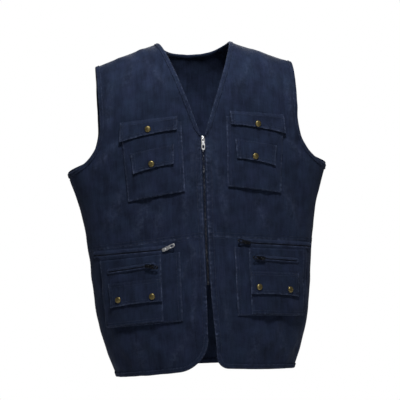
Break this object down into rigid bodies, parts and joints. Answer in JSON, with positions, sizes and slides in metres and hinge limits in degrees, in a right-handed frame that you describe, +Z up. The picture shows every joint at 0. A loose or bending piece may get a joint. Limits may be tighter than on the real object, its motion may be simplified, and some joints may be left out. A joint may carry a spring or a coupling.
{
  "type": "utility vest",
  "caption": "Sleeveless navy denim utility vest with a V neck, front zip, flapped snap pockets on chest and hips, and zips at the waist and hip pockets",
  "frame": {"origin": "on the wearer's shoulders, midway between the two neck points of the shoulder seams", "axes": "+Z up along the body, the front faces -Y, +X to the viewer's right"},
  "size_m": [0.5514, 0.2737, 0.6992],
  "materials": {
    "denim": "navy twill, matt",
    "denim_edge": "navy twill, paler with wear",
    "zip_cloth": "woven tape, matt",
    "snap_brass": "antique, satin",
    "zip_steel": "bright, satin",
    "zip_dark_metal": "dark antique, satin"
  },
  "bodies": {
    "vest": {"front_upper_left": "denim", "front_lower_left": "denim", "chest_pocket_left": "denim", "chest_flap_left": "denim", "small_flap_left": "denim", "hip_pocket_left": "denim", "hip_top_pocket_left": "denim", "hip_flap_left": "denim", "armhole_binding_left": "denim_edge", "hem_binding_left": "denim_edge", "chest_snap_left": "snap_brass", "small_snap_left": "snap_brass", "hip_snap_inner_left": "snap_brass", "hip_snap_outer_left": "snap_brass", "waist_zip_left": "zip_cloth", "pocket_zip_left": "zip_cloth", "zip_tape_left": "zip_cloth", "waist_zip_left_slider": "zip_steel", "pocket_zip_left_slider": "zip_dark_metal", "front_upper_right": "denim", "front_lower_right": "denim", "chest_pocket_right": "denim", "chest_flap_right": "denim", "small_flap_right": "denim", "hip_pocket_right": "denim", "hip_top_pocket_right": "denim", "hip_flap_right": "denim", "armhole_binding_right": "denim_edge", "hem_binding_right": "denim_edge", "chest_snap_right": "snap_brass", "small_snap_right": "snap_brass", "hip_snap_inner_right": "snap_brass", "hip_snap_outer_right": "snap_brass", "waist_zip_right": "zip_cloth", "pocket_zip_right": "zip_cloth", "zip_tape_right": "zip_cloth", "waist_zip_right_slider": "zip_dark_metal", "pocket_zip_right_slider": "zip_dark_metal", "back_panel": "denim", "neck_binding": "denim_edge", "hem_binding_back": "denim_edge", "main_zip_slider": "zip_steel", "zip_chain": "zip_dark_metal"},
    "waist_zip_left_pull": {"waist_zip_left_pull": "zip_steel"},
    "pocket_zip_left_pull": {"pocket_zip_left_pull": "zip_dark_metal"},
    "waist_zip_right_pull": {"waist_zip_right_pull": "zip_dark_metal"},
    "pocket_zip_right_pull": {"pocket_zip_right_pull": "zip_dark_metal"},
    "main_zip_pull": {"main_zip_pull": "zip_steel"}
  },
  "joints": [
    {"name": "waist_zip_left_pull_swing", "type": "hinge", "parent": "vest", "child": "waist_zip_left_pull", "pos_m": [-0.08493, -0.1131, -0.42999], "axis": [0.3868, -0.1426, -0.9111], "range_deg": [0, 170]},
    {"name": "pocket_zip_left_pull_swing", "type": "hinge", "parent": "vest", "child": "pocket_zip_left_pull", "pos_m": [-0.12108, -0.11314, -0.46219], "axis": [-0.2054, -0.0008, -0.9787], "range_deg": [0, 170]},
    {"name": "waist_zip_right_pull_swing", "type": "hinge", "parent": "vest", "child": "waist_zip_right_pull", "pos_m": [0.08492, -0.11268, -0.42337], "axis": [0.2583, 0.1133, 0.9594], "range_deg": [0, 170]},
    {"name": "pocket_zip_right_pull_swing", "type": "hinge", "parent": "vest", "child": "pocket_zip_right_pull", "pos_m": [0.11362, -0.11498, -0.45617], "axis": [0.1091, 0.1016, 0.9888], "range_deg": [0, 170]},
    {"name": "main_zip_pull_swing", "type": "hinge", "parent": "vest", "child": "main_zip_pull", "pos_m": [0, -0.12195, -0.21055], "axis": [-1, 0, 0], "range_deg": [0, 170]}
  ]
}
